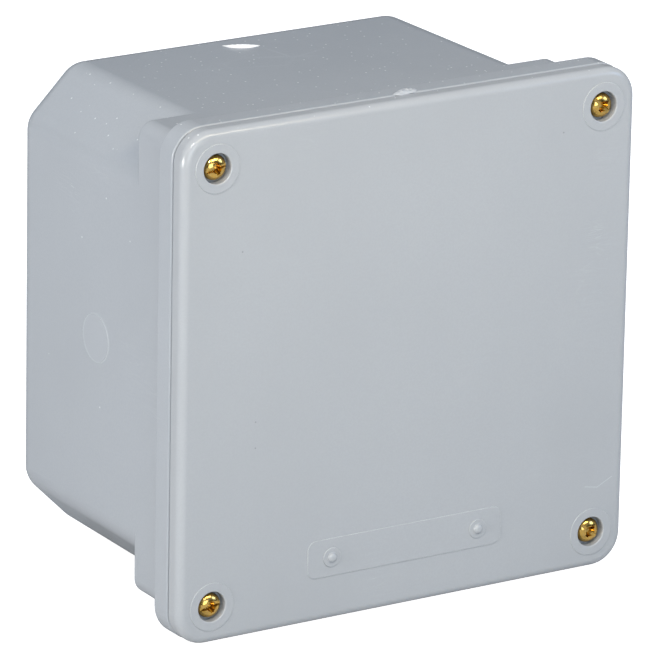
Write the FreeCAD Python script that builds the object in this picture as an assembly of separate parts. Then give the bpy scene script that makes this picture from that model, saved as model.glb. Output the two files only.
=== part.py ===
import FreeCAD, Part
import math
import os

# Square, gasketed, wall-mounted electrical junction box, moulded in rigid plastic.
# Frame: X to the right, Y into the wall, Z up. The origin is the centre of the back
# mounting face. All lengths are in millimetres. "Depth" is measured from the front
# face of the cover towards the wall, so the wall itself is at depth BOX_DEPTH.

# Overall size
BOX_DEPTH = 117.5
COVER_SIDE = 174.6
BACK_WALL = 4.0
INSIDE_SIDE = 152.4

# Body: octagonal trunk, square corner blocks, square flange
TRUNK_FRONT_SIDE = 162.8
TRUNK_BACK_SIDE = 161.1
TRUNK_CHAMFER = 17.6
TRUNK_EDGE_RADIUS = 10.0
BACK_EDGE_RADIUS = 8.0
BLOCK_BACK_DEPTH = 38.6
BLOCK_CORNER_RADIUS = 5.5
BLOCK_EDGE_RADIUS = 0.5
FLANGE_FRONT_DEPTH = 6.8
FLANGE_BACK_DEPTH = 15.0
FLANGE_SIDE = 174.9
FLANGE_CORNER_RADIUS = 11.1
FLANGE_FRONT_RADIUS = 0.6
FLANGE_BACK_RADIUS = 0.4
CAVITY_EDGE_RADIUS = 6.0
SEAL_RIB_HEIGHT = 0.8
SEAL_RIB_WIDTH = 1.2

# Cover
COVER_CORNER_RADIUS = 11.0
COVER_EDGE_DEPTH = 6.2
COVER_EDGE_RADIUS = 2.75
COVER_BACK_RADIUS = 0.3
COVER_PLATE = 3.2
COVER_POCKET_INSET = 0.6
SEAT_RADIUS = 7.0
RING_PAD_RADIUS = 8.25
RING_PAD_STEP = 0.2
MOUTH_RADIUS = 0.4

# Seal
GASKET_INSET = 0.4
GASKET_WIDTH = 3.0
GASKET_TOP_DEPTH = 4.0
GROOVE_CLEARANCE = 0.15

# Cover screws, their captive rings and their inserts
SCREW_SPACING = 149.0
HEAD_RADIUS = 4.3
HEAD_SIDE = 0.8
HEAD_BULGE_RADIUS = 3.55
HEAD_BULGE_HEIGHT = 2.45
HEAD_HEIGHT = 3.4
SEAT_DEPTH = 3.4
SHANK_RADIUS = 2.4
SHANK_LENGTH = 19.05
SHANK_TIP = 0.8
COUNTERBORE_RADIUS = 5.15
SHANK_HOLE_RADIUS = 2.8
RUNNING_CLEARANCE = 0.05
RING_OUTER_RADIUS = 4.0
RING_THICKNESS = 1.2
RING_DEPTH = 14.4
RING_POCKET_RADIUS = 4.4
RING_POCKET_DEPTH = 15.95
INSERT_RADIUS = 3.6
INSERT_LENGTH = 8.5
INSERT_HOLE_DEPTH = 27.0
SLOT_WIDTH = 1.15
SLOT_CUT = 1.2
CROSS_SPAN = 4.6
CROSS_WIDTH = 1.3
CROSS_DEPTH = 2.2
CROSS_TIP = 2.0
CROSS_CORE_RADIUS = 1.75
# Turn of each driver slot from level, in degrees, as the screws stopped when tightened.
SLOT_TURN = {
    "top_left": 15.0,
    "top_right": -43.0,
    "bottom_right": -41.0,
    "bottom_left": 12.0,
}

# Label pad and the two moulding studs on it
LABEL_WIDTH = 75.8
LABEL_HEIGHT = 13.1
LABEL_RADIUS = 3.2
LABEL_STEP = 0.2
LABEL_CENTRE_Z = -65.3
STUD_SPACING = 57.2
STUD_DISC_RADIUS = 3.3
STUD_DISC_STEP = 0.3
STUD_RADIUS = 1.75
STUD_HEIGHT = 1.3
STUD_ROUNDING = 1.2

# Centre marks on the left and right walls, where a conduit hole is cut
MARK_RADIUS = 8.3
MARK_STEP = 0.15
MARK_ROOT = 2.0
MARK_DEPTH = 65.0

# Back: four inserts for mounting feet, in bosses that also take a back panel
FOOT_SPACING = 120.0
BOSS_RADIUS = 6.0
BOSS_LENGTH = 14.0
FOOT_INSERT_RADIUS = 3.6
FOOT_INSERT_BORE = 2.1
FOOT_INSERT_LENGTH = 9.0
PILOT_RADIUS = 1.6
PILOT_LENGTH = 7.0

CORNERS = {
    "top_left": (-1, 1),
    "top_right": (1, 1),
    "bottom_right": (1, -1),
    "bottom_left": (-1, -1),
}
INTO_WALL = FreeCAD.Vector(0, 1, 0)
ROUNDING_SLACK = 0.01
OVERSHOOT = 1.0


def at_depth(depth):
    return depth - BOX_DEPTH


def save(node, shape):
    shape.exportStep("parts/" + node + ".step")


def rod(radius, x, z, depth_from, depth_to):
    start = FreeCAD.Vector(x, at_depth(depth_from), z)
    return Part.makeCylinder(radius, depth_to - depth_from, start, INTO_WALL)


def octagon_points(half, leg, depth):
    """Square of half-width half, with its corners cut off by leg, in a plane at depth."""
    y = at_depth(depth)
    cut = half - leg
    outline = [(half, cut), (cut, half), (-cut, half), (-half, cut)]
    outline += [(-x, -z) for x, z in outline]
    return [FreeCAD.Vector(x, y, z) for x, z in outline]


def closed_wire(points):
    return Part.makePolygon(points + [points[0]])


def edges_along_depth(shape):
    """Edges that run from a front plane to a back plane of the shape."""
    span = shape.BoundBox.YLength - ROUNDING_SLACK
    return [e for e in shape.Edges if e.BoundBox.YLength > span]


def edges_at_depth(shape, depth):
    y = at_depth(depth)
    found = []
    for edge in shape.Edges:
        box = edge.BoundBox
        if abs(box.YMin - y) < ROUNDING_SLACK and abs(box.YMax - y) < ROUNDING_SLACK:
            found.append(edge)
    return found


def octagon_prism(half, leg, depth_from, depth_to, edge_radius):
    """Solid whose half-width at each end plane is half(depth)."""
    front = closed_wire(octagon_points(half(depth_from), leg, depth_from))
    back = closed_wire(octagon_points(half(depth_to), leg, depth_to))
    solid = Part.makeLoft([front, back], True, True)
    return solid.makeFillet(edge_radius, edges_along_depth(solid))


def trunk_half(depth):
    """Half-width of the drafted trunk, widest at the flange's front."""
    share = (depth - FLANGE_FRONT_DEPTH) / (BOX_DEPTH - FLANGE_FRONT_DEPTH)
    return (TRUNK_FRONT_SIDE * (1 - share) + TRUNK_BACK_SIDE * share) / 2


def grown_octagon_prism(grow, depth_from, depth_to):
    """The cavity's outline, moved outward by grow on every side."""
    inset = TRUNK_BACK_SIDE / 2 - INSIDE_SIDE / 2 - grow
    leg = TRUNK_CHAMFER - inset * (2 - math.sqrt(2))
    half = INSIDE_SIDE / 2 + grow
    radius = CAVITY_EDGE_RADIUS + grow
    return octagon_prism(lambda depth: half, leg, depth_from, depth_to, radius)


def square_prism(side, corner_radius, depth_from, depth_to):
    corner = FreeCAD.Vector(-side / 2, at_depth(depth_from), -side / 2)
    solid = Part.makeBox(side, depth_to - depth_from, side, corner)
    return solid.makeFillet(corner_radius, edges_along_depth(solid))


def screw_places():
    reach = SCREW_SPACING / 2
    return {name: (sx * reach, sz * reach) for name, (sx, sz) in CORNERS.items()}


def foot_places():
    reach = FOOT_SPACING / 2
    return {name: (sx * reach, sz * reach) for name, (sx, sz) in CORNERS.items()}


# ---------------------------------------------------------------- body


def trunk():
    solid = octagon_prism(
        trunk_half, TRUNK_CHAMFER, FLANGE_FRONT_DEPTH, BOX_DEPTH, TRUNK_EDGE_RADIUS
    )
    return solid.makeFillet(BACK_EDGE_RADIUS, edges_at_depth(solid, BOX_DEPTH))


def square_points(half, depth):
    y = at_depth(depth)
    return [FreeCAD.Vector(sx * half, y, sz * half) for sx, sz in CORNERS.values()]


def corner_blocks():
    """Square prism with the trunk's draft, so that only its four corners stand out."""
    ends = [FLANGE_FRONT_DEPTH, BLOCK_BACK_DEPTH]
    wires = [closed_wire(square_points(trunk_half(depth), depth)) for depth in ends]
    solid = Part.makeLoft(wires, True, True)
    solid = solid.makeFillet(BLOCK_CORNER_RADIUS, edges_along_depth(solid))
    return solid.makeFillet(BLOCK_EDGE_RADIUS, edges_at_depth(solid, BLOCK_BACK_DEPTH))


def flange():
    solid = square_prism(FLANGE_SIDE, FLANGE_CORNER_RADIUS, FLANGE_FRONT_DEPTH, FLANGE_BACK_DEPTH)
    solid = solid.makeFillet(FLANGE_FRONT_RADIUS, edges_at_depth(solid, FLANGE_FRONT_DEPTH))
    return solid.makeFillet(FLANGE_BACK_RADIUS, edges_at_depth(solid, FLANGE_BACK_DEPTH))


def seal_rib():
    inset = GASKET_INSET + (GASKET_WIDTH - SEAL_RIB_WIDTH) / 2
    front = FLANGE_FRONT_DEPTH - SEAL_RIB_HEIGHT
    outer = grown_octagon_prism(inset + SEAL_RIB_WIDTH, front, FLANGE_FRONT_DEPTH)
    return outer.cut(grown_octagon_prism(inset, front, FLANGE_FRONT_DEPTH))


def wall_marks():
    """A shallow round mark, proud of the left and right walls at their middle."""
    marks = []
    for side in (-1, 1):
        root = side * (trunk_half(MARK_DEPTH) - MARK_ROOT)
        start = FreeCAD.Vector(root, at_depth(MARK_DEPTH), 0)
        outward = FreeCAD.Vector(side, 0, 0)
        marks.append(Part.makeCylinder(MARK_RADIUS, MARK_ROOT + MARK_STEP, start, outward))
    return marks


def back_bosses():
    front = BOX_DEPTH - BACK_WALL - BOSS_LENGTH
    root = BOX_DEPTH - BACK_WALL / 2
    return [rod(BOSS_RADIUS, x, z, front, root) for x, z in foot_places().values()]


def cover_screw_holes():
    holes = []
    for x, z in screw_places().values():
        holes.append(rod(RING_POCKET_RADIUS, x, z, FLANGE_FRONT_DEPTH, RING_POCKET_DEPTH))
        end = RING_POCKET_DEPTH + INSERT_LENGTH
        holes.append(rod(INSERT_RADIUS, x, z, RING_POCKET_DEPTH, end))
        holes.append(rod(SHANK_HOLE_RADIUS, x, z, end, INSERT_HOLE_DEPTH))
    return holes


def foot_holes():
    boss_front = BOX_DEPTH - BACK_WALL - BOSS_LENGTH
    holes = []
    for x, z in foot_places().values():
        holes.append(rod(FOOT_INSERT_RADIUS, x, z, BOX_DEPTH - FOOT_INSERT_LENGTH, BOX_DEPTH))
        holes.append(rod(PILOT_RADIUS, x, z, boss_front, boss_front + PILOT_LENGTH))
    return holes


def box_body():
    outside = trunk().fuse([corner_blocks(), flange()] + wall_marks())
    cavity = grown_octagon_prism(0, FLANGE_FRONT_DEPTH, BOX_DEPTH - BACK_WALL)
    shell = outside.cut(cavity)
    shell = shell.fuse([seal_rib()] + back_bosses())
    shell = shell.cut(cover_screw_holes() + foot_holes())
    return shell.removeSplitter()


# ---------------------------------------------------------------- cover


def cover_blank():
    solid = square_prism(COVER_SIDE, COVER_CORNER_RADIUS, 0, COVER_EDGE_DEPTH)
    solid = solid.makeFillet(COVER_EDGE_RADIUS, edges_at_depth(solid, 0))
    return solid.makeFillet(COVER_BACK_RADIUS, edges_at_depth(solid, COVER_EDGE_DEPTH))


def ring_pads():
    """A round pad, just proud of the face, about each screw."""
    places = screw_places().values()
    return [rod(RING_PAD_RADIUS, x, z, -RING_PAD_STEP, COVER_PLATE) for x, z in places]


def label_pad():
    """A raised plate low on the cover, outline in the XZ plane."""
    corner = FreeCAD.Vector(
        -LABEL_WIDTH / 2, at_depth(-LABEL_STEP), LABEL_CENTRE_Z - LABEL_HEIGHT / 2
    )
    plate = Part.makeBox(LABEL_WIDTH, LABEL_STEP + COVER_PLATE / 2, LABEL_HEIGHT, corner)
    return plate.makeFillet(LABEL_RADIUS, edges_along_depth(plate))


def label_studs():
    pieces = []
    root = COVER_PLATE / 2
    disc_front = -LABEL_STEP - STUD_DISC_STEP
    stud_front = -LABEL_STEP - STUD_HEIGHT
    for side in (-1, 1):
        x = side * STUD_SPACING / 2
        pieces.append(rod(STUD_DISC_RADIUS, x, LABEL_CENTRE_Z, disc_front, root))
        stud = rod(STUD_RADIUS, x, LABEL_CENTRE_Z, stud_front, root)
        pieces.append(stud.makeFillet(STUD_ROUNDING, edges_at_depth(stud, stud_front)))
    return pieces


def seats():
    """Spacer discs behind the cover's corners, resting on the flange."""
    front = COVER_EDGE_DEPTH - COVER_PLATE / 2
    places = screw_places().values()
    return [rod(SEAT_RADIUS, x, z, front, FLANGE_FRONT_DEPTH) for x, z in places]


def gasket_groove():
    outer = GASKET_INSET + GASKET_WIDTH + GROOVE_CLEARANCE
    inner = GASKET_INSET - GROOVE_CLEARANCE
    ring = grown_octagon_prism(outer, GASKET_TOP_DEPTH, FLANGE_FRONT_DEPTH)
    return ring.cut(grown_octagon_prism(inner, GASKET_TOP_DEPTH, FLANGE_FRONT_DEPTH))


def head_pocket(x, z):
    """Counterbore for a screw head, its mouth rounded outward, and the shank's hole."""
    lip_depth = MOUTH_RADIUS - RING_PAD_STEP
    lip_radius = COUNTERBORE_RADIUS + MOUTH_RADIUS
    lip_centre = FreeCAD.Vector(x, at_depth(lip_depth), z)
    lip = Part.makeTorus(lip_radius, MOUTH_RADIUS, lip_centre, INTO_WALL)
    mouth = rod(lip_radius, x, z, -OVERSHOOT, lip_depth).cut(lip)
    bore = rod(COUNTERBORE_RADIUS, x, z, -OVERSHOOT, SEAT_DEPTH)
    return [bore, mouth, rod(SHANK_HOLE_RADIUS, x, z, 0, FLANGE_FRONT_DEPTH)]


def cover():
    pocket = grown_octagon_prism(-COVER_POCKET_INSET, COVER_PLATE, FLANGE_FRONT_DEPTH)
    plate = cover_blank().cut(pocket)
    plate = plate.fuse(ring_pads() + [label_pad()] + label_studs() + seats())
    plate = plate.cut(gasket_groove())
    for x, z in screw_places().values():
        plate = plate.cut(head_pocket(x, z))
    return plate.removeSplitter()


def cover_gasket():
    back = FLANGE_FRONT_DEPTH - SEAL_RIB_HEIGHT
    outer = grown_octagon_prism(GASKET_INSET + GASKET_WIDTH, GASKET_TOP_DEPTH, back)
    return outer.cut(grown_octagon_prism(GASKET_INSET, GASKET_TOP_DEPTH, back))


# ---------------------------------------------------------------- screws


def screw_profile():
    """Half section of the screw in the XY plane, about the Y axis, seat at y = 0."""
    length = SHANK_LENGTH
    crown = FreeCAD.Vector(0, -HEAD_HEIGHT, 0)
    bulge = FreeCAD.Vector(HEAD_BULGE_RADIUS, -HEAD_BULGE_HEIGHT, 0)
    shoulder = FreeCAD.Vector(HEAD_RADIUS, -HEAD_SIDE, 0)
    path = [
        shoulder,
        FreeCAD.Vector(HEAD_RADIUS, 0, 0),
        FreeCAD.Vector(SHANK_RADIUS, 0, 0),
        FreeCAD.Vector(SHANK_RADIUS, length - SHANK_TIP, 0),
        FreeCAD.Vector(SHANK_RADIUS - SHANK_TIP, length, 0),
        FreeCAD.Vector(0, length, 0),
        crown,
    ]
    dome = Part.BSplineCurve()
    dome.interpolate(
        Points=[crown, bulge, shoulder],
        InitialTangent=FreeCAD.Vector(1, 0, 0),
        FinalTangent=FreeCAD.Vector(0, 1, 0),
    )
    edges = [dome.toShape()]
    edges += [Part.LineSegment(a, b).toShape() for a, b in zip(path, path[1:])]
    return Part.Face(Part.Wire(edges))


def driver_wing():
    """One tapered blade of the cross recess, along X, cut down from the crown."""
    half = CROSS_SPAN / 2
    tip = CROSS_TIP / 2
    top = -HEAD_HEIGHT
    above = top - OVERSHOOT
    outline = [(-half, above), (half, above), (half, top), (tip, top + CROSS_DEPTH)]
    outline += [(-tip, top + CROSS_DEPTH), (-half, top)]
    wire = closed_wire([FreeCAD.Vector(x, y, -CROSS_WIDTH / 2) for x, y in outline])
    return Part.Face(wire).extrude(FreeCAD.Vector(0, 0, CROSS_WIDTH))


def driver_recess():
    reach = HEAD_RADIUS + OVERSHOOT
    corner = FreeCAD.Vector(-reach, -HEAD_HEIGHT - OVERSHOOT, -SLOT_WIDTH / 2)
    slot = Part.makeBox(2 * reach, SLOT_CUT + OVERSHOOT, SLOT_WIDTH, corner)
    across = driver_wing()
    across.rotate(FreeCAD.Vector(0, 0, 0), INTO_WALL, 90)
    crown = FreeCAD.Vector(0, -HEAD_HEIGHT, 0)
    core = Part.makeCone(CROSS_CORE_RADIUS, CROSS_TIP / 2, CROSS_DEPTH, crown, INTO_WALL)
    return slot.fuse([driver_wing(), across, core])


def cover_screw(x, z, turn):
    screw = screw_profile().revolve(FreeCAD.Vector(0, 0, 0), INTO_WALL, 360)
    screw = screw.cut(driver_recess())
    screw.rotate(FreeCAD.Vector(0, 0, 0), INTO_WALL, -turn)
    screw.translate(FreeCAD.Vector(x, at_depth(SEAT_DEPTH), z))
    return screw


def screw_retainer(x, z):
    ring = rod(RING_OUTER_RADIUS, x, z, RING_DEPTH, RING_DEPTH + RING_THICKNESS)
    bore = rod(SHANK_RADIUS + RUNNING_CLEARANCE, x, z, RING_DEPTH, RING_DEPTH + RING_THICKNESS)
    return ring.cut(bore)


def threaded_insert(x, z):
    end = RING_POCKET_DEPTH + INSERT_LENGTH
    insert = rod(INSERT_RADIUS, x, z, RING_POCKET_DEPTH, end)
    return insert.cut(rod(SHANK_RADIUS + RUNNING_CLEARANCE, x, z, RING_POCKET_DEPTH, end))


def foot_insert(x, z):
    front = BOX_DEPTH - FOOT_INSERT_LENGTH
    insert = rod(FOOT_INSERT_RADIUS, x, z, front, BOX_DEPTH)
    return insert.cut(rod(FOOT_INSERT_BORE, x, z, front, BOX_DEPTH))


def main():
    os.makedirs("parts", exist_ok=True)
    save("box_body", box_body())
    save("cover", cover())
    save("cover_gasket", cover_gasket())
    for name, (x, z) in screw_places().items():
        save("cover_screw_" + name, cover_screw(x, z, SLOT_TURN[name]))
        save("screw_retainer_" + name, screw_retainer(x, z))
        save("threaded_insert_" + name, threaded_insert(x, z))
    for name, (x, z) in foot_places().items():
        save("foot_insert_" + name, foot_insert(x, z))


main()
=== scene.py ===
"""Looks of a square moulded junction box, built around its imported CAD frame.

Lengths are metres in the frame's axes: +X right, +Y into the wall, +Z up, and the cover faces -Y.
"""

import math

import bmesh
import bpy
from mathutils import Matrix, Vector, noise


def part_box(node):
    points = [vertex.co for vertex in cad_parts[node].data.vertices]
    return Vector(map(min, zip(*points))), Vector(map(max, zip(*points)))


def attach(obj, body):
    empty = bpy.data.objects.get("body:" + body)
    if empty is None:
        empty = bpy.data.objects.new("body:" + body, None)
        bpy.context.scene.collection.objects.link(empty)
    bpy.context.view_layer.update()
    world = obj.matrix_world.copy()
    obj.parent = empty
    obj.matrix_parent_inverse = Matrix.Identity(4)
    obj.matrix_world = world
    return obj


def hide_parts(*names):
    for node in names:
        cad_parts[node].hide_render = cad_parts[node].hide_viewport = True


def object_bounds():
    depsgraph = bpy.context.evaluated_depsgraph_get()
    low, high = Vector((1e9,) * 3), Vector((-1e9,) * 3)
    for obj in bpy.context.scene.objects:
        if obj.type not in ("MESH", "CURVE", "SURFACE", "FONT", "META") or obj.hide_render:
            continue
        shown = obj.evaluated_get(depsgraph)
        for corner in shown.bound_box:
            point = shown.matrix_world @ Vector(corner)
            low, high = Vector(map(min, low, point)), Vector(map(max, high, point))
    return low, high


MM = 0.001

# The view: a long lens looks down at the box from the front left.
CAMERA_LENS = 381.29
CAMERA_SENSOR = 36.0
CAMERA_AZIMUTH = -32.439
CAMERA_ELEVATION = 18.042
CAMERA_ROLL = 1.084
CAMERA_DISTANCE = 2.33998
AIM_OFFSET = Vector((0.00333, -0.00417, -0.00725))

# The studio: a pale floor, an overhead sky, and soft panels that face the box.
# Each panel has its azimuth and elevation in degrees as seen from the box, where azimuth 0 is -Y and
# positive is towards +X, then its distance, width and height in metres, colour and power in watts.
FLOOR_SIZE = 24.0
FLOOR_CELLS = 8
FLOOR_GLOW = 1.0
FLOOR_NOISE_SCALE = 3.0
FLOOR_DARK = (0.54, 0.54, 0.54)
FLOOR_PALE = (0.57, 0.57, 0.57)
SKY_COLOUR = (0.9, 1.0, 1.13)
SKY_LIGHT = 0.79
PANELS = {
    "left_wall": (-80.0, 3.0, 1.5, 0.6, 0.4, (1.0, 0.985, 0.965), 16.0),
    "front_wide": (-15.0, 8.0, 1.5, 1.0, 0.7, (0.89, 1.0, 1.08), 6.75),
    "front_high": (5.0, 45.0, 0.62, 0.45, 0.1, (1.0, 0.86, 0.64), 1.75),
    "key": (-40.0, 42.0, 1.2, 0.2, 0.2, (1.0, 0.985, 0.96), 4.4),
    "right_fill": (50.0, 20.0, 1.5, 0.6, 0.6, (0.5, 0.68, 1.0), 5.2),
}

# Cover screws: number 10 machine screws with 24 threads to the inch.
THREAD_PITCH = 25.4 * MM / 24
THREAD_CREST = 2.39 * MM
THREAD_ROOT = 1.86 * MM
THREAD_NECK = 1.6 * MM
THREAD_ROUNDING = 1.3
THREAD_RUNOUT = 0.7
THREAD_TIP = THREAD_ROOT * 0.92
THREAD_OVERLAP = 0.2 * MM
THREAD_STEPS = 8
THREAD_SEGMENTS = 48
HEAD_HEIGHT = 3.4 * MM
SHARP_ANGLE = math.radians(32.0)
CAD_WELD = 0.001 * MM
THREAD_WELD = 0.0005 * MM

# A lump of gate plastic on the rim's top, and a crescent of flash on the body's top rear edge, whose pale
# colour is a painted highlight.
LUMP_CENTRE = (1.8 * MM, 2.6 * MM)
LUMP_HALF_WIDTH = 5.4 * MM
LUMP_HALF_DEPTH = 2.3 * MM
LUMP_HEIGHT = 1.2 * MM
LUMP_SLANT = 0.2
LUMP_ROUNDING = 2.2
LUMP_SINK = 0.03 * MM
LUMP_ROOT = 0.3 * MM
LUMP_OUTLINE_PATH = (2.0, 4.0)
LUMP_OUTLINE_SWAY = 0.22
LUMP_GRAIN = 1.1 * MM
LUMP_GRAIN_MIDDLE = 0.68
LUMP_GRAIN_SWAY = 0.5
LUMP_RINGS = 14
LUMP_SPOKES = 56
FLASH_CENTRE = (-1.4 * MM, -11.3 * MM)
FLASH_RADIUS = 8.2 * MM
FLASH_START = math.radians(190.0)
FLASH_END = math.radians(296.0)
FLASH_WIDTH = 1.5 * MM
FLASH_HEIGHT = 1.0 * MM
FLASH_TAPER = 0.8
FLASH_WAVES = 14.0
FLASH_SWAY = 0.15
FLASH_STEPS = 60

# Across the crescent: inward as a share of its width, and up as a share of its height. Below the face,
# up is in millimetres.
FLASH_SECTION = ((0.0, -0.3), (0.0, 0.02), (0.35, 0.5), (0.75, 0.92), (1.0, 1.0), (1.3, 0.6), (1.6, -0.3))

# The flat top of the body behind the rim, and how far the label studs stand proud of the cover's face.
TRUNK_TOP = 80.63 * MM
STUD_HEIGHT = 1.5 * MM

# Surface patterns. A NOISE has its cells per metre, its octaves and, last, how rough those are.
# A STEP has the two values between which it rises, and then what it gives there, or 0 and 1.
# A TINT has the share of its colour that shows, and that colour. A BUMP has its strength and height.
# A SHADE is how much lighter or darker the base colour becomes, as a share. A STRETCH has the cells per
# metre along each axis, and a TURN has its three angles in radians.
CLOUD_NOISE = (9.0, 2.0)
CLOUD_STEP = (0.3, 0.7)
CLOUD_SHADES = (-0.035, 0.025)
FLOW_STRETCH = (35.0, 35.0, 9.0)
FLOW_TURN = (0.4, 0.2, 0.0)
FLOW_NOISE = (1.0, 4.0)
FLOW_STEP = (0.35, 0.75, 0.0, 0.5)
FLOW_SHADE = 0.035
GRAIN_NOISE = (1500.0, 2.0)
GRAIN_STEP = (0.35, 0.65, 0.0, 0.35)
GRAIN_SHADE = -0.05
GRAIN_BUMP = (0.05, 0.05 * MM)
PEEL_NOISE = (320.0, 2.0)
PEEL_BUMP = (0.05, 0.25 * MM)
SMUDGE_NOISE = (38.0, 4.0, 0.6)
SMUDGE_ROUGHNESS_STEP = (0.3, 0.75, 0.2, 0.255)
# Painted shade in crevices: darker where occlusion is deep, broken into patches by noise.
CREVICE_SHADE_NOISE = (90.0, 3.0)
CREVICE_SHADE_REACH = 1.2 * MM
CREVICE_SHADE_OPEN = 0.45
CREVICE_SHADE_FULL = 0.1
CREVICE_SHADE_SAMPLES = 6
CREVICE_SHADE_TINT = (0.3, (0.12, 0.1, 0.085, 1.0))

# The plastic's edges, lightened partly as wear and partly as a painted highlight, and the light that goes
# a little way into it.
EDGE_ROUNDING = 0.25 * MM
EDGE_SAMPLES = 5
EDGE_STEP = (0.99, 0.85)
WEAR_AND_HIGHLIGHT_NOISE = (160.0, 3.0)
WEAR_AND_HIGHLIGHT_STEP = (0.25, 0.6, 0.4, 1.0)
WEAR_AND_HIGHLIGHT_TINT = (0.45, (0.75, 0.77, 0.78, 1.0))
WEAR_ROUGHNESS = 0.08
PLASTIC_IOR = 1.5
SCATTER_SHARE = 0.25
SCATTER_DEPTH = 0.7 * MM

# Hairlines: the long thin cells whose borders they follow, and the three ways they run.
HAIR_STRETCH = (26.0, 26.0, 420.0)
HAIR_TURNS = ((0.3, 0.9, 0.2), (1.1, -0.5, 0.8), (-0.6, 0.4, 1.9))
HAIR_STEP = (0.022, 0.004)
HAIR_TINT = (0.05, (0.72, 0.75, 0.78, 1.0))
HAIR_ROUGHNESS = 0.04
RUBBED_NOISE = (26.0, 2.0)
RUBBED_STEP = (0.56, 0.8)

# Specks: cells per metre, and each speck's radius as a share of its cell.
DUST_CELLS = 420.0
DUST_SIZE = 0.17
DUST_UPWARD_STEP = (0.5, 0.9, 0.003, 1.0)
DUST_TINT = (0.6, (0.8, 0.82, 0.84, 1.0))
DARK_CELLS = 170.0
DARK_SIZE = 0.07
DARK_SHARE = 0.02
DARK_TINT = (0.55, (0.16, 0.16, 0.16, 1.0))
SPECK_CORE = 0.4
SPECK_BUMP = (0.12, 0.02 * MM)

# Brass: its tarnish, its fine bright grain, its turning rings, and the painted shade in its recesses.
TARNISH_NOISE = (420.0, 4.0, 0.6)
TARNISH_STEP = (0.42, 0.72)
TARNISH_SHADE = -0.4
TARNISH_ROUGHNESS_STEP = (0.4, 0.8, 0.0, 0.14)
FINE_NOISE = (2600.0, 2.0)
FINE_STEP = (0.4, 0.7, 0.0, 0.3)
FINE_COLOUR = (0.9, 0.72, 0.4, 1.0)
FINE_BUMP = (0.1, 0.02 * MM)
RING_NOISE = (90.0, 2.0)
RING_BUMP = (0.25, 0.04 * MM)
RECESS_SHADE_REACH = 1.4 * MM
RECESS_SHADE_OPEN = 0.75
RECESS_SHADE_TINT = (0.85, (0.03, 0.018, 0.008, 1.0))

# Foam rubber: its skin, and its pores.
FOAM_IOR = 1.5
FOAM_SPECULAR = 0.3
SKIN_NOISE = (60.0, 3.0)
SKIN_STEP = (0.3, 0.7)
SKIN_SHADES = (-0.2, 0.35)
SKIN_ROUGHNESS_STEP = (0.3, 0.7, 0.72, 0.9)
PORE_CELLS = 1900.0
PORE_STEP = (0.35, 0.1, 0.0, 0.7)
PORE_SHADE = -0.7
PORE_BUMP = (0.6, 0.12 * MM)

# Nylon: its milky depth, its mottle, its moulding grain, and the painted shade in its corners.
NYLON_IOR = 1.53
NYLON_SCATTER_SHARE = 0.3
NYLON_SCATTER_DEPTH = 0.6 * MM
MOTTLE_NOISE = (600.0, 3.0)
MOTTLE_STEP = (0.3, 0.7)
MOTTLE_SHADES = (-0.08, 0.05)
MOTTLE_ROUGHNESS_STEP = (0.3, 0.7, 0.38, 0.52)
NYLON_NOISE = (3000.0, 2.0)
NYLON_BUMP = (0.15, 0.02 * MM)
NYLON_SHADE_REACH = 0.8 * MM
NYLON_SHADE_TINT = (0.5, (0.3, 0.27, 0.2, 1.0))

# Each plastic's colour, where its pattern starts, and how much of a face that looks up holds dust.
PLASTICS = {
    "body_plastic": ((0.348, 0.369, 0.396), (3.1, 1.7, 0.4), 0.35),
    "cover_plastic": ((0.357, 0.373, 0.393), (0.6, 4.2, 2.3), 0.2),
    "gate_plastic": ((0.43, 0.45, 0.48), (5.2, 0.3, 1.1), 0.05),
    # The flash's near-white colour is a painted highlight.
    "flash_highlight_plastic": ((0.93, 0.94, 0.95), (1.9, 2.6, 6.4), 0.05),
}

# The brasses' colour and roughness, and the colours of the two soft materials.
SCREW_BRASS = ((0.68, 0.42, 0.09), 0.1)
INSERT_BRASS = ((0.72, 0.52, 0.24), 0.25)
GASKET_COLOUR = (0.045, 0.045, 0.05)
RETAINER_COLOUR = (0.8, 0.79, 0.73)

# The round centre mark on the left and right walls, as (Y, Z), and the line round it. It is drawn
# only further from the middle than WALL_MARK_INSIDE. The disc is painted lighter as a painted sheen, and
# the line is a painted highlight; each has the share of its shade that shows, and that shade.
WALL_MARK_CENTRE = (-52.9 * MM, 0.2 * MM)
WALL_MARK_RADIUS = 8.3 * MM
WALL_MARK_LINE = 0.45 * MM
WALL_MARK_INSIDE = 79.0 * MM
WALL_MARK_DISC_SHEEN = (0.3, 0.1)
WALL_MARK_LINE_HIGHLIGHT = (0.42, 0.4)

# A bent hairline scratch low on the right of the cover, as (X, Z) turning points from the cover's centre.
SCRATCH = ((71.7 * MM, -58.1 * MM), (76.6 * MM, -59.0 * MM), (82.6 * MM, -56.1 * MM))
SCRATCH_WIDTH = 0.16 * MM
SCRATCH_OUTSIDE = 0.6
SCRATCH_INSIDE = 0.2
SCRATCH_TINT = (0.35, (0.85, 0.87, 0.9, 1.0))

CORNERS = ("top_left", "top_right", "bottom_right", "bottom_left")


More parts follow.
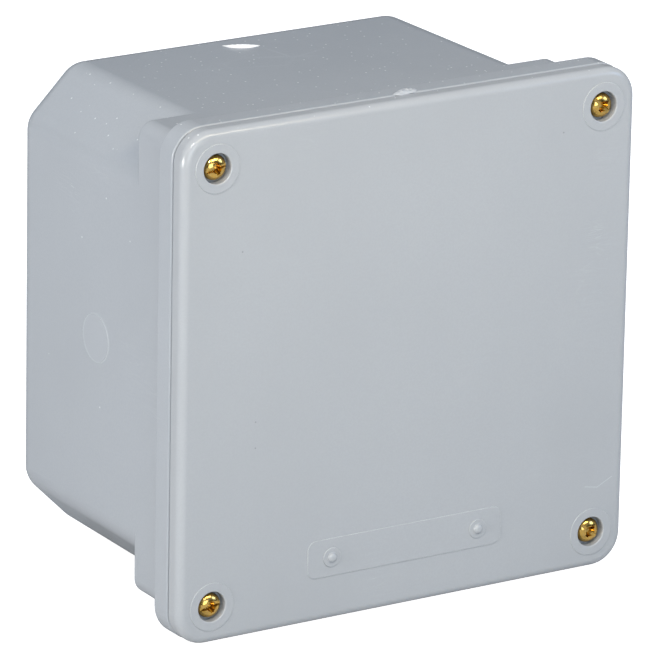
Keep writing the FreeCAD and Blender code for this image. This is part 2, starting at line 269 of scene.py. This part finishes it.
class Graph:
    """A node tree, with short calls that add a node, fill its inputs and return its output."""

    def __init__(self, tree):
        self.tree = tree
        self.tree.nodes.clear()

    def add(self, kind, inputs=None, **settings):
        node = self.tree.nodes.new("ShaderNode" + kind)
        for name, value in settings.items():
            setattr(node, name, value)
        for name, value in (inputs or {}).items():
            self.fill(node.inputs[name], value)
        return node

    def fill(self, socket, value):
        if isinstance(value, bpy.types.NodeSocket):
            self.tree.links.new(value, socket)
        else:
            socket.default_value = value

    def math(self, operation, first, second=0.0, clamp=False):
        node = self.add("Math", operation=operation, use_clamp=clamp)
        self.fill(node.inputs[0], first)
        self.fill(node.inputs[1], second)
        return node.outputs[0]

    def vector(self, operation, first, second=(0.0, 0.0, 0.0)):
        node = self.add("VectorMath", operation=operation)
        self.fill(node.inputs[0], first)
        self.fill(node.inputs[1], second)
        return node.outputs["Value" if operation in ("LENGTH", "DISTANCE") else "Vector"]

    def stretch(self, place, scale, turn=(0.0, 0.0, 0.0)):
        node = self.add("Mapping", {"Vector": place, "Scale": scale, "Rotation": turn})
        return node.outputs["Vector"]

    def noise(self, place, scale, detail=3.0, roughness=0.5):
        inputs = {"Vector": place, "Scale": scale, "Detail": detail, "Roughness": roughness}
        return self.add("TexNoise", inputs).outputs["Fac"]

    def step(self, value, low, high, start=0.0, end=1.0):
        """Rises smoothly from start to end while value goes from low to high."""
        node = self.add("MapRange", interpolation_type="SMOOTHSTEP")
        for name, number in (("From Min", low), ("From Max", high), ("To Min", start), ("To Max", end)):
            self.fill(node.inputs[name], number)
        self.fill(node.inputs["Value"], value)
        return node.outputs["Result"]

    def mix(self, factor, first, second):
        node = self.add("Mix", data_type="RGBA")
        self.fill(node.inputs["Factor"], factor)
        self.fill(node.inputs["A"], first)
        self.fill(node.inputs["B"], second)
        return node.outputs["Result"]

    def tint(self, base, mask, strength, colour):
        """The base colour, mixed towards the other one by that share of the mask."""
        return self.mix(self.math("MULTIPLY", mask, strength), base, colour)

    def bump(self, height, strength, distance, normal=None):
        inputs = {"Height": height, "Strength": strength, "Distance": distance}
        if normal is not None:
            inputs["Normal"] = normal
        return self.add("Bump", inputs).outputs["Normal"]


def color(red, green, blue):
    """The opaque colour with those channels."""
    return (red, green, blue, 1.0)


def shaded(colour, amount):
    """The same colour, lighter or darker by that share."""
    return color(*(channel * (1.0 + amount) for channel in colour[:3]))


def new_material(name, **constants):
    """A material with a Principled shader whose unvarying inputs are set on its own sockets."""
    material = bpy.data.materials.new(name)
    material.use_nodes = True
    graph = Graph(material.node_tree)
    shader = graph.add("BsdfPrincipled")
    output = graph.add("OutputMaterial")
    graph.tree.links.new(shader.outputs["BSDF"], output.inputs["Surface"])
    for socket, value in constants.items():
        shader.inputs[socket.replace("_", " ")].default_value = value
    return material, graph, shader


def crevice_shade(graph, reach, open_at=CREVICE_SHADE_OPEN):
    """Painted shade mask: 1 deep in a crevice, falling to 0 on surfaces that are open by more than that
    share.
    """
    occlusion = graph.add("AmbientOcclusion", {"Distance": reach}, samples=CREVICE_SHADE_SAMPLES)
    return graph.step(occlusion.outputs["AO"], open_at, CREVICE_SHADE_FULL)


def softened_edges(graph, radius):
    """The normal rounded over sharp edges, and a mask that is 1 along them."""
    rounded = graph.add("Bevel", {"Radius": radius}, samples=EDGE_SAMPLES).outputs["Normal"]
    true = graph.add("NewGeometry").outputs["Normal"]
    dot = graph.add("VectorMath", operation="DOT_PRODUCT")
    graph.fill(dot.inputs[0], rounded)
    graph.fill(dot.inputs[1], true)
    return rounded, graph.step(dot.outputs["Value"], *EDGE_STEP)


def line_mask(graph, place, start, end, width):
    """1 on the straight line from start to end, falling to 0 at about half that width from it."""
    along = end - start
    from_start = graph.vector("SUBTRACT", place, start)
    dot = graph.add("VectorMath", operation="DOT_PRODUCT")
    graph.fill(dot.inputs[0], from_start)
    graph.fill(dot.inputs[1], along / along.length_squared)
    share = graph.math("ADD", dot.outputs["Value"], 0.0, clamp=True)
    scaled = graph.add("VectorMath", operation="SCALE")
    graph.fill(scaled.inputs[0], along)
    graph.fill(scaled.inputs["Scale"], share)
    distance = graph.vector("LENGTH", graph.vector("SUBTRACT", from_start, scaled.outputs["Vector"]))
    return graph.step(distance, width * SCRATCH_OUTSIDE, width * SCRATCH_INSIDE)


def wall_mark(graph, place):
    """Masks of the round mark on each side wall: the disc, for a painted sheen, and the line that rings
    it, for a painted highlight.
    """
    flat = graph.vector("MULTIPLY", place, (0.0, 1.0, 1.0))
    distance = graph.vector("LENGTH", graph.vector("SUBTRACT", flat, (0.0, *WALL_MARK_CENTRE)))
    disc = graph.step(distance, WALL_MARK_RADIUS, WALL_MARK_RADIUS - WALL_MARK_LINE)
    off_line = graph.math("ABSOLUTE", graph.math("SUBTRACT", distance, WALL_MARK_RADIUS))
    ring = graph.step(off_line, WALL_MARK_LINE, 0.0)
    across = graph.add("SeparateXYZ", {"Vector": place}).outputs["X"]
    on_wall = graph.math("GREATER_THAN", graph.math("ABSOLUTE", across), WALL_MARK_INSIDE)
    return graph.math("MULTIPLY", disc, on_wall), graph.math("MULTIPLY", ring, on_wall)


def moulded_plastic(name, colour, offset, dust, scratch=()):
    """Satin rigid plastic: clouded pigment, fine grain, hairline scratches, specks, edges lightened as
    wear and as a painted highlight, a wall mark with painted sheen and highlight, and painted shade in
    crevices.
    """
    material, graph, shader = new_material(
        name, IOR=PLASTIC_IOR, Subsurface_Weight=SCATTER_SHARE, Subsurface_Scale=SCATTER_DEPTH,
        Subsurface_Radius=(1.0, 1.0, 1.0)
    )
    object_place = graph.add("TexCoord").outputs["Object"]
    place = graph.vector("ADD", object_place, offset)
    grain = graph.noise(place, *GRAIN_NOISE)
    pigment = clouded_pigment(graph, place, colour, grain)
    masks = wall_mark(graph, object_place)
    # The wall mark's disc is painted lighter as a painted sheen, and its rim line is a painted highlight.
    for mask, (share, shade) in zip(masks, (WALL_MARK_DISC_SHEEN, WALL_MARK_LINE_HIGHLIGHT)):
        pigment = graph.tint(pigment, mask, share, shaded(colour, shade))
    hairs = hairline_scratches(graph, place)
    for start, end in zip(scratch, scratch[1:]):
        line = line_mask(graph, object_place, start, end, SCRATCH_WIDTH)
        pigment = graph.tint(pigment, line, *SCRATCH_TINT)
        hairs = graph.math("MAXIMUM", hairs, line)
    pigment = graph.tint(pigment, hairs, *HAIR_TINT)
    pale, dark = specks(graph, place, dust)
    pigment = graph.tint(pigment, pale, *DUST_TINT)
    pigment = graph.tint(pigment, dark, *DARK_TINT)
    rounded, edges = softened_edges(graph, EDGE_ROUNDING)
    # Edges lightened partly as wear and partly as a painted highlight along them.
    patchy = graph.step(graph.noise(place, *WEAR_AND_HIGHLIGHT_NOISE), *WEAR_AND_HIGHLIGHT_STEP)
    wear_and_highlight = graph.math("MULTIPLY", edges, patchy)
    pigment = graph.tint(pigment, wear_and_highlight, *WEAR_AND_HIGHLIGHT_TINT)
    # Painted shade, darkening the pigment in crevices and between parts.
    crevice_shading = graph.math("MULTIPLY", crevice_shade(graph, CREVICE_SHADE_REACH), graph.noise(place, *CREVICE_SHADE_NOISE))
    pigment = graph.tint(pigment, crevice_shading, *CREVICE_SHADE_TINT)
    graph.fill(shader.inputs["Base Color"], pigment)

    rough = graph.step(graph.noise(place, *SMUDGE_NOISE), *SMUDGE_ROUGHNESS_STEP)
    rough = graph.math("ADD", rough, graph.math("MULTIPLY", hairs, HAIR_ROUGHNESS))
    rough = graph.math("ADD", rough, graph.math("MULTIPLY", wear_and_highlight, WEAR_ROUGHNESS))
    graph.fill(shader.inputs["Roughness"], rough)

    normal = graph.bump(graph.noise(place, *PEEL_NOISE), *PEEL_BUMP, rounded)
    normal = graph.bump(grain, *GRAIN_BUMP, normal)
    normal = graph.bump(graph.math("SUBTRACT", pale, hairs), *SPECK_BUMP, normal)
    graph.fill(shader.inputs["Normal"], normal)
    return material


def clouded_pigment(graph, place, colour, grain):
    """The base colour with soft clouds, streaks of melt flow and fine grain."""
    darker, lighter = (shaded(colour, shade) for shade in CLOUD_SHADES)
    pigment = graph.mix(graph.step(graph.noise(place, *CLOUD_NOISE), *CLOUD_STEP), darker, lighter)
    flow = graph.noise(graph.stretch(place, FLOW_STRETCH, FLOW_TURN), *FLOW_NOISE)
    pigment = graph.mix(graph.step(flow, *FLOW_STEP), pigment, shaded(colour, FLOW_SHADE))
    return graph.mix(graph.step(grain, *GRAIN_STEP), pigment, shaded(colour, GRAIN_SHADE))


def hairline_scratches(graph, place):
    """Short straight hairlines in a few directions, only where handling has rubbed the part."""
    rubbed = graph.step(graph.noise(place, *RUBBED_NOISE), *RUBBED_STEP)
    lines = []
    for turn in HAIR_TURNS:
        cells = graph.stretch(place, HAIR_STRETCH, turn)
        edge = graph.add("TexVoronoi", {"Vector": cells, "Scale": 1.0}, feature="DISTANCE_TO_EDGE")
        lines.append(graph.step(edge.outputs["Distance"], *HAIR_STEP))
    first, second, third = lines
    all_ways = graph.math("MAXIMUM", graph.math("MAXIMUM", first, second), third)
    return graph.math("MULTIPLY", all_ways, rubbed)


def specks(graph, place, dust):
    """Masks of pale dust, which lies on faces that look up, and of thinly scattered small dark specks."""
    upward = graph.add("SeparateXYZ", {"Vector": graph.add("TexCoord").outputs["Normal"]}).outputs["Z"]
    lying = graph.math("MULTIPLY", graph.step(upward, *DUST_UPWARD_STEP), dust)
    masks = []
    for scale, share, size in ((DUST_CELLS, lying, DUST_SIZE), (DARK_CELLS, DARK_SHARE, DARK_SIZE)):
        cell = graph.add("TexVoronoi", {"Vector": place, "Scale": scale})
        pick = graph.add("SeparateXYZ", {"Vector": cell.outputs["Color"]}).outputs["X"]
        chosen = graph.math("LESS_THAN", pick, share)
        dot = graph.step(cell.outputs["Distance"], size, size * SPECK_CORE)
        masks.append(graph.math("MULTIPLY", chosen, dot))
    return masks


def turned_brass(name, colour, roughness):
    """Brass turned on a lathe: rings about its own axis, a little tarnish, and painted shade in the
    recesses.
    """
    material, graph, shader = new_material(name, Metallic=1.0)
    texture = graph.add("TexCoord")
    centred = graph.vector("SUBTRACT", texture.outputs["Generated"], (0.5, 0.5, 0.5))
    radius = graph.vector("LENGTH", graph.vector("MULTIPLY", centred, (1.0, 0.0, 1.0)))
    scale, detail = RING_NOISE
    ring_inputs = {"W": radius, "Scale": scale, "Detail": detail}
    rings = graph.add("TexNoise", ring_inputs, noise_dimensions="1D")
    place = texture.outputs["Object"]
    tarnish = graph.noise(place, *TARNISH_NOISE)
    fine = graph.noise(place, *FINE_NOISE)
    metal = graph.mix(graph.step(tarnish, *TARNISH_STEP), color(*colour), shaded(colour, TARNISH_SHADE))
    metal = graph.mix(graph.step(fine, *FINE_STEP), metal, FINE_COLOUR)
    # Painted shade: the brass darkened almost to black in its recesses and round its rim.
    metal = graph.tint(metal, crevice_shade(graph, RECESS_SHADE_REACH, RECESS_SHADE_OPEN), *RECESS_SHADE_TINT)
    graph.fill(shader.inputs["Base Color"], metal)
    rough = graph.math("ADD", roughness, graph.step(tarnish, *TARNISH_ROUGHNESS_STEP))
    graph.fill(shader.inputs["Roughness"], rough)
    normal = graph.bump(rings.outputs["Fac"], *RING_BUMP)
    graph.fill(shader.inputs["Normal"], graph.bump(fine, *FINE_BUMP, normal))
    return material


def foam_rubber(name, colour):
    """Closed-cell foam rubber: a dark skin pitted with fine pores."""
    material, graph, shader = new_material(name, IOR=FOAM_IOR, Specular_IOR_Level=FOAM_SPECULAR)
    place = graph.add("TexCoord").outputs["Object"]
    pores = graph.add("TexVoronoi", {"Vector": place, "Scale": PORE_CELLS}).outputs["Distance"]
    cloud = graph.noise(place, *SKIN_NOISE)
    darker, lighter = (shaded(colour, shade) for shade in SKIN_SHADES)
    skin = graph.mix(graph.step(cloud, *SKIN_STEP), darker, lighter)
    skin = graph.mix(graph.step(pores, *PORE_STEP), skin, shaded(colour, PORE_SHADE))
    graph.fill(shader.inputs["Base Color"], skin)
    graph.fill(shader.inputs["Roughness"], graph.step(cloud, *SKIN_ROUGHNESS_STEP))
    graph.fill(shader.inputs["Normal"], graph.bump(pores, *PORE_BUMP))
    return material


def natural_nylon(name, colour):
    """Milky nylon with a faint mottle and moulding grain."""
    material, graph, shader = new_material(
        name, IOR=NYLON_IOR, Subsurface_Weight=NYLON_SCATTER_SHARE, Subsurface_Scale=NYLON_SCATTER_DEPTH
    )
    place = graph.add("TexCoord").outputs["Object"]
    mottle = graph.noise(place, *MOTTLE_NOISE)
    darker, lighter = (shaded(colour, shade) for shade in MOTTLE_SHADES)
    milk = graph.mix(graph.step(mottle, *MOTTLE_STEP), darker, lighter)
    # Painted shade, darkening the nylon in its corners.
    milk = graph.tint(milk, crevice_shade(graph, NYLON_SHADE_REACH), *NYLON_SHADE_TINT)
    graph.fill(shader.inputs["Base Color"], milk)
    graph.fill(shader.inputs["Roughness"], graph.step(mottle, *MOTTLE_ROUGHNESS_STEP))
    graph.fill(shader.inputs["Normal"], graph.bump(graph.noise(place, *NYLON_NOISE), *NYLON_BUMP))
    return material


def mesh_piece(name, mesh, material):
    """An object for that mesh, with its material, in the scene."""
    piece = bpy.data.objects.new(name, mesh)
    bpy.context.scene.collection.objects.link(piece)
    mesh.materials.clear()
    mesh.materials.append(material)
    return piece


def thread_radius(turn_share, from_neck, from_tip):
    """Radius of the screw thread: a rounded V form that runs out into the neck and the pointed tip."""
    ridge = abs(2.0 * turn_share - 1.0)
    profile = THREAD_ROOT + (THREAD_CREST - THREAD_ROOT) * (1.0 - (1.0 - ridge) ** THREAD_ROUNDING)
    neck = min(1.0, from_neck / (THREAD_RUNOUT * THREAD_PITCH))
    tip = min(1.0, from_tip / THREAD_PITCH)
    shank = THREAD_CREST + (profile - THREAD_CREST) * neck
    return THREAD_TIP + (shank - THREAD_TIP) * tip


def add_thread(mesh, centre, neck, tip):
    """Adds a right-handed thread along +Y from the neck to the tip, as rows that follow the helix."""
    turns = (tip - neck) / THREAD_PITCH + 1.0
    rows = int(turns * THREAD_STEPS) + 1
    grid = []
    for row in range(rows + THREAD_STEPS):
        ring = []
        for segment in range(THREAD_SEGMENTS):
            share = segment / THREAD_SEGMENTS
            along = neck + (row / THREAD_STEPS + share - 1.0) * THREAD_PITCH
            along = max(neck, min(tip, along))
            radius = thread_radius((row % THREAD_STEPS) / THREAD_STEPS, along - neck, tip - along)
            angle = -2.0 * math.pi * share
            spoke = Vector((radius * math.cos(angle), 0.0, radius * math.sin(angle)))
            ring.append(mesh.verts.new(Vector((centre.x, along, centre.z)) + spoke))
        grid.append(ring)
    for row in range(rows - 1):
        for segment in range(THREAD_SEGMENTS):
            last = segment + 1 == THREAD_SEGMENTS
            following = 0 if last else segment + 1
            lift = THREAD_STEPS if last else 0
            near = grid[row + lift][following] if row + lift < len(grid) else grid[-1][following]
            far = grid[row + lift + 1][following] if row + lift + 1 < len(grid) else grid[-1][following]
            corners = [grid[row][segment], grid[row + 1][segment], far, near]
            if len(set(corners)) == len(corners):
                face = mesh.faces.new(corners)
                face.smooth = True


def threaded_screw(corner, material):
    """The CAD screw's head and neck, with a real thread in place of its plain shank."""
    node = "cover_screw_" + corner
    low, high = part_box(node)
    centre = (low + high) / 2.0
    neck = low.y + HEAD_HEIGHT + THREAD_NECK
    mesh = bmesh.new()
    mesh.from_mesh(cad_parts[node].data)
    bmesh.ops.remove_doubles(mesh, verts=mesh.verts, dist=CAD_WELD)
    everything = list(mesh.verts) + list(mesh.edges) + list(mesh.faces)
    cut_at = Vector((centre.x, neck, centre.z))
    bmesh.ops.bisect_plane(mesh, geom=everything, plane_co=cut_at, plane_no=(0, 1, 0), clear_outer=True)
    add_thread(mesh, centre, neck - THREAD_OVERLAP, high.y)
    bmesh.ops.remove_doubles(mesh, verts=mesh.verts, dist=THREAD_WELD)
    rim = [edge for edge in mesh.edges if edge.is_boundary]
    bmesh.ops.holes_fill(mesh, edges=rim)
    for edge in mesh.edges:
        edge.smooth = edge.calc_face_angle(0.0) < SHARP_ANGLE
    data = bpy.data.meshes.new("brass_screw_" + corner)
    mesh.to_mesh(data)
    mesh.free()
    piece = mesh_piece("brass_screw_" + corner, data, material)
    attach(piece, "screw_" + corner)
    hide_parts(node)


def finished_mesh(name, mesh):
    """Turns the bmesh into mesh data with smooth faces that point outwards."""
    bmesh.ops.recalc_face_normals(mesh, faces=mesh.faces)
    for face in mesh.faces:
        face.smooth = True
    data = bpy.data.meshes.new(name)
    mesh.to_mesh(data)
    mesh.free()
    return data


def gate_lump(material):
    """An uneven lump of plastic left by the mould's gate, on the flat top of the rim."""
    rim_low, rim_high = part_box("box_body")
    middle = Vector((LUMP_CENTRE[0], rim_low.y + LUMP_CENTRE[1], rim_high.z))
    reach, level = LUMP_OUTLINE_PATH
    mesh = bmesh.new()
    rings = []
    for ring in range(1, LUMP_RINGS + 1):
        share = ring / LUMP_RINGS
        row = []
        for spoke in range(LUMP_SPOKES):
            angle = 2.0 * math.pi * spoke / LUMP_SPOKES
            path = Vector((reach * math.cos(angle), reach * math.sin(angle), level))
            ragged = 1.0 + LUMP_OUTLINE_SWAY * noise.noise(path)
            across = LUMP_HALF_WIDTH * share * ragged * math.cos(angle)
            back = LUMP_HALF_DEPTH * share * ragged * math.sin(angle) + LUMP_SLANT * across
            uneven = noise.noise(Vector((across, back, 0.0)) / LUMP_GRAIN)
            lumps = LUMP_GRAIN_MIDDLE + LUMP_GRAIN_SWAY * uneven
            height = LUMP_HEIGHT * max(0.0, 1.0 - share ** LUMP_ROUNDING) * lumps - LUMP_SINK
            row.append(mesh.verts.new(middle + Vector((across, back, height))))
        rings.append(row)
    mesh.faces.new(rings[0])
    for inner, outer in zip(rings, rings[1:]):
        for spoke in range(LUMP_SPOKES):
            after = (spoke + 1) % LUMP_SPOKES
            mesh.faces.new((inner[spoke], outer[spoke], outer[after], inner[after]))
    sunk = [mesh.verts.new(vertex.co - Vector((0.0, 0.0, LUMP_ROOT))) for vertex in rings[-1]]
    for spoke in range(LUMP_SPOKES):
        after = (spoke + 1) % LUMP_SPOKES
        mesh.faces.new((rings[-1][spoke], sunk[spoke], sunk[after], rings[-1][after]))
    mesh.faces.new(list(reversed(sunk)))
    piece = mesh_piece("gate_lump", finished_mesh("gate_lump", mesh), material)
    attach(piece, "box")


def flash_crescent(material):
    """A thin crescent of flash standing on the body's top face, near its rear edge, painted near white as
    a highlight.
    """
    top = Vector((FLASH_CENTRE[0], FLASH_CENTRE[1], TRUNK_TOP))
    mesh = bmesh.new()
    rows = []
    for step in range(FLASH_STEPS + 1):
        share = step / FLASH_STEPS
        angle = FLASH_START + (FLASH_END - FLASH_START) * share
        swell = math.sin(math.pi * share) ** FLASH_TAPER
        swell *= 1.0 + FLASH_SWAY * noise.noise(Vector((share * FLASH_WAVES, 0.0, 0.0)))
        row = []
        for inward, up in FLASH_SECTION:
            radius = FLASH_RADIUS - FLASH_WIDTH * swell * inward
            height = FLASH_HEIGHT * swell * up if up > 0.0 else up * MM
            spoke = Vector((radius * math.cos(angle), radius * math.sin(angle), height))
            row.append(mesh.verts.new(top + spoke))
        rows.append(row)
    count = len(FLASH_SECTION)
    for near, far in zip(rows, rows[1:]):
        for index in range(count):
            after = (index + 1) % count
            mesh.faces.new((near[index], far[index], far[after], near[after]))
    mesh.faces.new(rows[0])
    mesh.faces.new(list(reversed(rows[-1])))
    piece = mesh_piece("flash_crescent", finished_mesh("flash_crescent", mesh), material)
    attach(piece, "box")


def build_camera(centre):
    """The long lens of the view, aimed a little to the side of the box's centre."""
    back = direction_from(CAMERA_AZIMUTH, CAMERA_ELEVATION)
    level = Vector((0.0, 0.0, 1.0)).cross(back).normalized()
    right = Matrix.Rotation(math.radians(CAMERA_ROLL), 3, back) @ level
    up = back.cross(right)
    place = centre + AIM_OFFSET + back * CAMERA_DISTANCE
    camera = bpy.data.objects.new("camera", bpy.data.cameras.new("camera"))
    camera.data.lens = CAMERA_LENS
    camera.data.sensor_width = CAMERA_SENSOR
    camera.matrix_world = Matrix.Translation(place) @ Matrix((right, up, back)).transposed().to_4x4()
    bpy.context.scene.collection.objects.link(camera)
    bpy.context.scene.camera = camera


def build_world():
    """A cool sky that is brightest overhead and dark at the horizon."""
    world = bpy.data.worlds.new("studio")
    world.use_nodes = True
    bpy.context.scene.world = world
    graph = Graph(world.node_tree)
    direction = graph.add("TexCoord").outputs["Generated"]
    height = graph.add("SeparateXYZ", {"Vector": direction}).outputs["Z"]
    strength = graph.math("MULTIPLY", graph.math("MAXIMUM", height, 0.0), SKY_LIGHT)
    sky = graph.add("Background", {"Color": color(*SKY_COLOUR), "Strength": strength})
    output = graph.add("OutputWorld")
    graph.tree.links.new(sky.outputs["Background"], output.inputs["Surface"])


def direction_from(azimuth, elevation):
    """The unit vector towards that azimuth and elevation, in degrees."""
    flat = math.cos(math.radians(elevation))
    turn = math.radians(azimuth)
    return Vector((math.sin(turn) * flat, -math.cos(turn) * flat, math.sin(math.radians(elevation))))


def build_panel(name, centre, azimuth, elevation, distance, width, height, colour, power):
    """A soft rectangular light that faces the box."""
    light = bpy.data.lights.new(name, "AREA")
    light.shape = "RECTANGLE"
    light.size = width
    light.size_y = height
    light.color = colour
    light.energy = power
    towards = direction_from(azimuth, elevation)
    panel = bpy.data.objects.new(name, light)
    panel.visible_camera = False
    turn = (-towards).to_track_quat("-Z", "Y").to_matrix().to_4x4()
    panel.matrix_world = Matrix.Translation(centre + towards * distance) @ turn
    bpy.context.scene.collection.objects.link(panel)


def build_floor(height):
    """The pale studio floor, which glows white where the camera sees it."""
    mesh = bmesh.new()
    bmesh.ops.create_grid(mesh, x_segments=FLOOR_CELLS, y_segments=FLOOR_CELLS, size=FLOOR_SIZE / 2.0)
    data = bpy.data.meshes.new("floor")
    mesh.to_mesh(data)
    mesh.free()
    material, graph, shader = new_material("white_sweep", Roughness=1.0, Specular_IOR_Level=0.0)
    place = graph.add("TexCoord").outputs["Object"]
    tone = graph.mix(graph.noise(place, FLOOR_NOISE_SCALE), color(*FLOOR_DARK), color(*FLOOR_PALE))
    graph.fill(shader.inputs["Base Color"], tone)
    shader.inputs["Emission Color"].default_value = color(1.0, 1.0, 1.0)
    seen = graph.add("LightPath").outputs["Is Camera Ray"]
    graph.fill(shader.inputs["Emission Strength"], graph.math("MULTIPLY", seen, FLOOR_GLOW))
    floor = mesh_piece("floor", data, material)
    floor.location.z = height


def dress(node, material):
    """Gives a CAD node its material."""
    for slot in node.material_slots:
        slot.material = material


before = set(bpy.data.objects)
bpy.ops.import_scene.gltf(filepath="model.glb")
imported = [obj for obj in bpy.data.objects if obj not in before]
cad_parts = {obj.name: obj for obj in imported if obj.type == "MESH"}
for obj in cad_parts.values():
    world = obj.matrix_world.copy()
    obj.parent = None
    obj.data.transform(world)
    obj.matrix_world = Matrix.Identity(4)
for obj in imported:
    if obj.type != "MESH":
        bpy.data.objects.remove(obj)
cad_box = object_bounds()
low, high = (Vector(corner) for corner in cad_box)
centre = (low + high) / 2.0

body_plastic = moulded_plastic("body_plastic", *PLASTICS["body_plastic"])
cover_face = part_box("cover")[0].y + STUD_HEIGHT
scratch = [Vector((across, cover_face, up)) for across, up in SCRATCH]
cover_plastic = moulded_plastic("cover_plastic", *PLASTICS["cover_plastic"], scratch)
gate_plastic = moulded_plastic("gate_plastic", *PLASTICS["gate_plastic"])
flash_highlight_plastic = moulded_plastic("flash_highlight_plastic", *PLASTICS["flash_highlight_plastic"])
screw_brass = turned_brass("screw_brass", *SCREW_BRASS)
insert_brass = turned_brass("insert_brass", *INSERT_BRASS)
gasket_rubber = foam_rubber("gasket_rubber", GASKET_COLOUR)
retainer_nylon = natural_nylon("retainer_nylon", RETAINER_COLOUR)

dress(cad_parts["box_body"], body_plastic)
dress(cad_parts["cover"], cover_plastic)
dress(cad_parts["cover_gasket"], gasket_rubber)
for corner in CORNERS:
    threaded_screw(corner, screw_brass)
    dress(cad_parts["screw_retainer_" + corner], retainer_nylon)
    dress(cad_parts["threaded_insert_" + corner], insert_brass)
    dress(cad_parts["foot_insert_" + corner], insert_brass)

gate_lump(gate_plastic)
flash_crescent(flash_highlight_plastic)
build_camera(centre)
build_world()
build_floor(low.z)
for name, settings in PANELS.items():
    build_panel(name, centre, *settings)
bpy.context.scene.view_settings.view_transform = "Standard"
